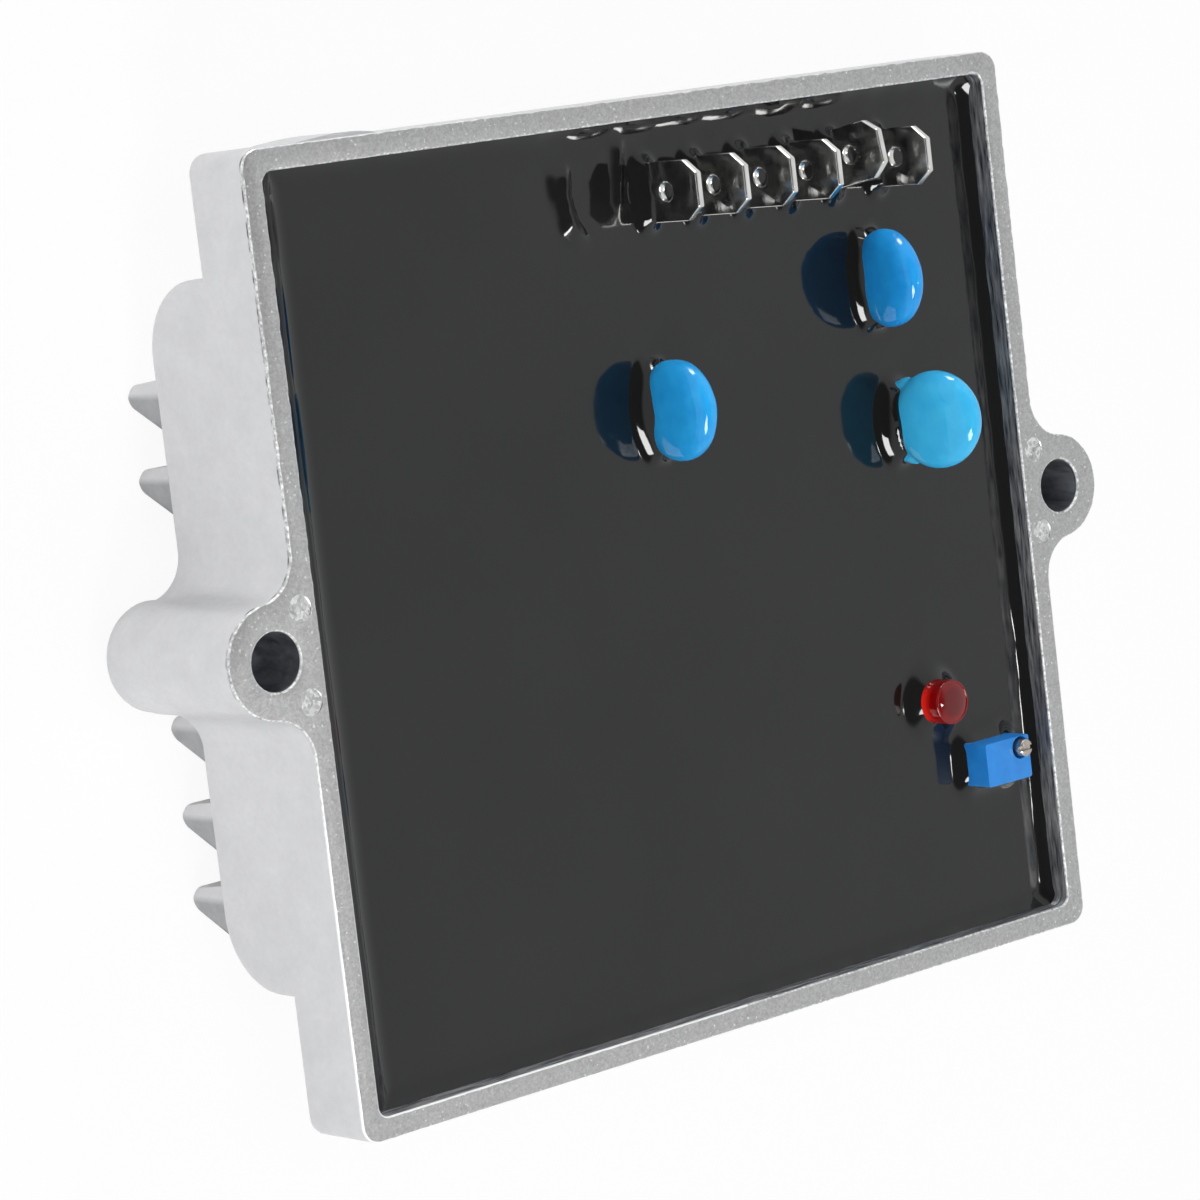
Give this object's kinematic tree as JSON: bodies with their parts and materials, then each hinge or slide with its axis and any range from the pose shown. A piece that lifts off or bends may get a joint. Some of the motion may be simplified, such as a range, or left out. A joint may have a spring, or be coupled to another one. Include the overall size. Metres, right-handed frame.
{
  "type": "voltage regulator module",
  "caption": "Potted generator voltage regulator in a finned die-cast aluminium tray with screw lugs, spade terminals, disc varistors, an indicator lamp and an adjusting trimmer.",
  "frame": {"origin": "under the middle of the tray, at the tips of the cooling fins that the module lies on", "axes": "+X across the module from one screw lug to the other, +Y up it towards the spade terminals, +Z out of the potted face"},
  "size_m": [0.122, 0.0984, 0.0336],
  "materials": {
    "casting": "as cast, fine grain",
    "resin": "poured, glossy",
    "board": "coated laminate",
    "tinned_tab": "bright tin plate",
    "varistor_coat": "dipped epoxy, glossy",
    "lamp_lens": "clear red moulding",
    "trimmer_body": "moulded",
    "adjuster_metal": "plated, turned",
    "black_moulding": "moulded epoxy",
    "thermal_pad": "soft silicone",
    "zinc_screw": "zinc plated",
    "film_case": "dipped",
    "can_sleeve": "shrunk sleeve",
    "resistor_coat": "cement coat"
  },
  "bodies": {
    "module": {"housing": "casting", "potting_resin": "resin", "circuit_board": "board", "spade_terminal_1": "tinned_tab", "spade_terminal_2": "tinned_tab", "spade_terminal_3": "tinned_tab", "spade_terminal_4": "tinned_tab", "spade_terminal_5": "tinned_tab", "spade_terminal_6": "tinned_tab", "disc_varistor_1": "varistor_coat", "disc_varistor_2": "varistor_coat", "disc_varistor_3": "varistor_coat", "indicator_led": "lamp_lens", "trimmer_case": "trimmer_body", "thyristor": "black_moulding", "thyristor_pad": "thermal_pad", "thyristor_screw": "zinc_screw", "freewheel_diode": "black_moulding", "diode_pad": "thermal_pad", "diode_screw": "zinc_screw", "rectifier_bridge": "black_moulding", "film_capacitor": "film_case", "electrolytic_capacitor_1": "can_sleeve", "electrolytic_capacitor_2": "can_sleeve", "power_resistor_1": "resistor_coat", "power_resistor_2": "resistor_coat", "control_ic": "black_moulding"},
    "adjuster": {"trimmer_screw": "adjuster_metal"}
  },
  "joints": [
    {"name": "trimmer_turn", "type": "hinge", "parent": "module", "child": "adjuster", "pos_m": [0.0436, -0.02755, 0.028], "axis": [0, 0, 1], "continuous": true}
  ]
}
